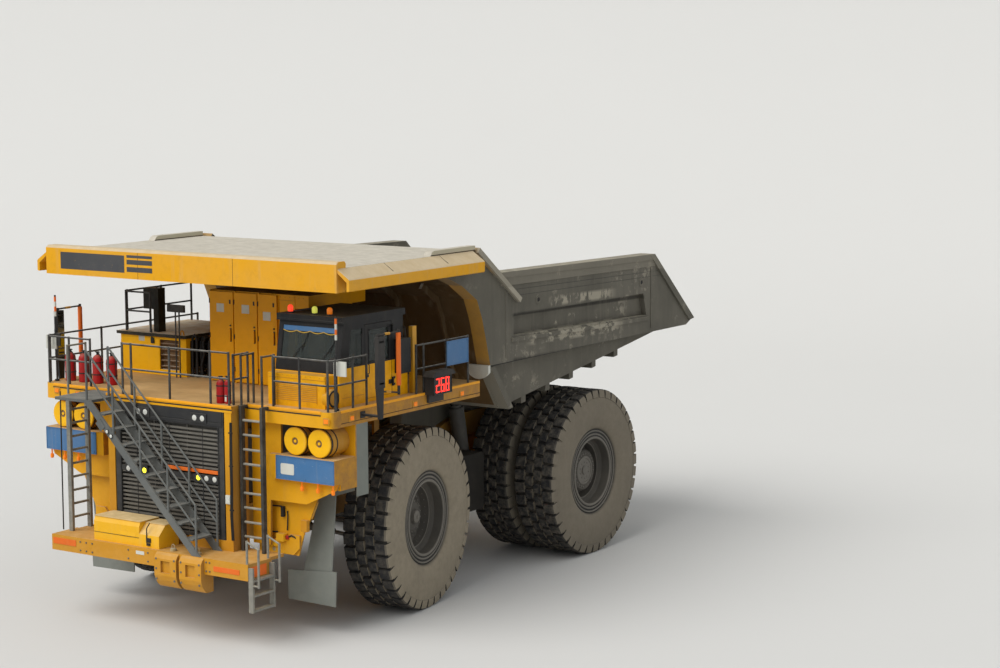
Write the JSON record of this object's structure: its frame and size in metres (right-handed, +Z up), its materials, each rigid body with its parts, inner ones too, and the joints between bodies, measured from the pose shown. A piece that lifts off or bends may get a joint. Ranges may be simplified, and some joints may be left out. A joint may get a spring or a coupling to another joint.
{
  "type": "rigid mining dump truck",
  "caption": "Large rigid-frame mining dump truck with a raised cab and deck, front stair and a hinged dump bed with a canopy over the cab.",
  "frame": {"origin": "on the ground, under the middle of the whole outline", "axes": "-Y is the front of the truck, +X its left (the cab's side), +Z up"},
  "size_m": [7.9, 14.14, 6.817],
  "materials": {
    "paint": "dusty satin yellow",
    "deck": "dusty tan top surfaces",
    "black_steel": "dusty black",
    "grey_steel": "dusty grey",
    "bed_steel": "mud-coated grey",
    "rim": "dusty grey-brown",
    "tyre": "dusty",
    "rubber": "dusty",
    "glass": "tinted",
    "blue": "blank blue board",
    "red": "gloss red",
    "lamp": "clear lens",
    "seat": "dark cloth"
  },
  "bodies": {
    "chassis": {"frame": "paint", "engine": "grey_steel", "grille": "black_steel", "bumper": "paint", "battery_box": "paint", "deck_center": "deck", "deck_left": "paint", "deck_right": "paint", "air_cleaners": "paint", "number_boards": "blue", "cab_shell": "black_steel", "cab_glass": "glass", "cab_interior": "seat", "control_cabinet": "paint", "retard_grid_box": "paint", "front_stairs": "grey_steel", "ladders": "black_steel", "handrails": "black_steel", "mirrors": "black_steel", "lamps": "lamp", "extinguishers": "red", "payload_display": "black_steel", "mud_flaps": "rubber", "fuel_tank": "paint", "hydraulic_tank": "paint", "rear_axle": "paint", "suspension": "grey_steel"},
    "cab_door_left": {"cab_door_left": "paint", "door_glass_left": "glass"},
    "cab_door_right": {"cab_door_right": "paint", "door_glass_right": "glass"},
    "cabinet_door_1": {"cabinet_door_1": "paint"},
    "cabinet_door_2": {"cabinet_door_2": "paint"},
    "cabinet_door_3": {"cabinet_door_3": "paint"},
    "knuckle_left": {"knuckle_left": "grey_steel"},
    "knuckle_right": {"knuckle_right": "grey_steel"},
    "tie_rod": {"tie_rod": "grey_steel"},
    "steer_barrel_left": {"steer_barrel_left": "grey_steel"},
    "steer_barrel_right": {"steer_barrel_right": "grey_steel"},
    "steer_rod_left": {"steer_rod_left": "grey_steel"},
    "steer_rod_right": {"steer_rod_right": "grey_steel"},
    "wheel_front_left": {"tyre_front_left": "tyre", "rim_front_left": "rim"},
    "wheel_front_right": {"tyre_front_right": "tyre", "rim_front_right": "rim"},
    "wheels_rear_left": {"tyres_rear_left": "tyre", "rims_rear_left": "rim"},
    "wheels_rear_right": {"tyres_rear_right": "tyre", "rims_rear_right": "rim"},
    "bed": {"bed_floor": "bed_steel", "bed_side_left": "bed_steel", "bed_side_right": "bed_steel", "bed_canopy": "bed_steel"},
    "hoist_barrels": {"hoist_barrels": "grey_steel"},
    "hoist_stages": {"hoist_stages": "grey_steel"},
    "hoist_rods": {"hoist_rods": "grey_steel"}
  },
  "joints": [
    {"name": "bed_hoist", "type": "hinge", "parent": "chassis", "child": "bed", "pos_m": [0, 4.23, 3.25], "axis": [-1, 0, 0], "range_deg": [0, 45]},
    {"name": "hoist_barrels", "type": "hinge", "parent": "chassis", "child": "hoist_barrels", "pos_m": [0, 1.48, 1.75], "axis": [-1, 0, 0], "range_deg": [-0.5, 22.5]},
    {"name": "hoist_stages", "type": "slide", "parent": "hoist_barrels", "child": "hoist_stages", "axis": [0, -0.2075, 0.9782], "range_m": [-0.002, 1.09]},
    {"name": "hoist_rods", "type": "slide", "parent": "hoist_stages", "child": "hoist_rods", "axis": [0, -0.2075, 0.9782], "range_m": [-0.002, 1.09]},
    {"name": "steer_left", "type": "hinge", "parent": "chassis", "child": "knuckle_left", "pos_m": [1.72, -2.92, 1.725], "axis": [0, 0, 1], "range_deg": [-39, 23]},
    {"name": "steer_right", "type": "hinge", "parent": "chassis", "child": "knuckle_right", "pos_m": [-1.72, -2.92, 1.725], "axis": [0, 0, 1], "range_deg": [-39.5, 23.5]},
    {"name": "tie_rod_turn", "type": "hinge", "parent": "knuckle_left", "child": "tie_rod", "pos_m": [1.63371, -2.30603, 1.34], "axis": [0, 0, 1], "range_deg": [-23.5, 39.5]},
    {"name": "steer_barrel_left_turn", "type": "hinge", "parent": "chassis", "child": "steer_barrel_left", "pos_m": [0.6, -3.07, 1.34], "axis": [0, 0, 1], "range_deg": [-3, 3]},
    {"name": "steer_barrel_right_turn", "type": "hinge", "parent": "chassis", "child": "steer_barrel_right", "pos_m": [-0.6, -3.07, 1.34], "axis": [0, 0, 1], "range_deg": [-3, 3]},
    {"name": "steer_rod_left_slide", "type": "slide", "parent": "steer_barrel_left", "child": "steer_rod_left", "axis": [0.9755, -0.2201, 0], "range_m": [-0.274, 0.162]},
    {"name": "steer_rod_right_slide", "type": "slide", "parent": "steer_barrel_right", "child": "steer_rod_right", "axis": [-0.97, -0.243, 0], "range_m": [-0.162, 0.274]},
    {"name": "wheel_front_left", "type": "hinge", "parent": "knuckle_left", "child": "wheel_front_left", "pos_m": [2.77959, -2.77108, 1.725], "axis": [0.9903, 0.1392, 0], "continuous": true},
    {"name": "wheel_front_right", "type": "hinge", "parent": "knuckle_right", "child": "wheel_front_right", "pos_m": [-2.77959, -3.06892, 1.725], "axis": [0.9903, 0.1392, 0], "continuous": true},
    {"name": "wheels_rear_left", "type": "hinge", "parent": "chassis", "child": "wheels_rear_left", "pos_m": [2.415, 2.969, 1.725], "axis": [1, 0, 0], "continuous": true},
    {"name": "wheels_rear_right", "type": "hinge", "parent": "chassis", "child": "wheels_rear_right", "pos_m": [-2.415, 2.969, 1.725], "axis": [1, 0, 0], "continuous": true},
    {"name": "cab_door_left", "type": "hinge", "parent": "chassis", "child": "cab_door_left", "pos_m": [3.276, -3.88, 4.93], "axis": [0, 0, 1], "range_deg": [0, 85]},
    {"name": "cab_door_right", "type": "hinge", "parent": "chassis", "child": "cab_door_right", "pos_m": [1.774, -3.88, 4.93], "axis": [0, 0, -1], "range_deg": [0, 65]},
    {"name": "cabinet_door_1", "type": "hinge", "parent": "chassis", "child": "cabinet_door_1", "pos_m": [-0.907, -4.078, 5.07], "axis": [0, 0, -1], "range_deg": [0, 90]},
    {"name": "cabinet_door_2", "type": "hinge", "parent": "chassis", "child": "cabinet_door_2", "pos_m": [-0.297, -4.078, 5.07], "axis": [0, 0, -1], "range_deg": [0, 90]},
    {"name": "cabinet_door_3", "type": "hinge", "parent": "chassis", "child": "cabinet_door_3", "pos_m": [0.292, -4.078, 5.07], "axis": [0, 0, -1], "range_deg": [0, 90]}
  ],
  "couplings": [
    {"joint": "hoist_barrels", "follows": "bed_hoist", "ratio": 0.487},
    {"joint": "hoist_stages", "follows": "bed_hoist", "m_per_rad": 1.381},
    {"joint": "hoist_rods", "follows": "bed_hoist", "m_per_rad": 1.381},
    {"joint": "steer_right", "follows": "steer_left", "ratio": 1},
    {"joint": "tie_rod_turn", "follows": "steer_left", "ratio": -1},
    {"joint": "steer_barrel_left_turn", "follows": "steer_left", "ratio": 0.07},
    {"joint": "steer_barrel_right_turn", "follows": "steer_left", "ratio": 0.07},
    {"joint": "steer_rod_left_slide", "follows": "steer_left", "m_per_rad": 0.4},
    {"joint": "steer_rod_right_slide", "follows": "steer_left", "m_per_rad": -0.4}
  ]
}
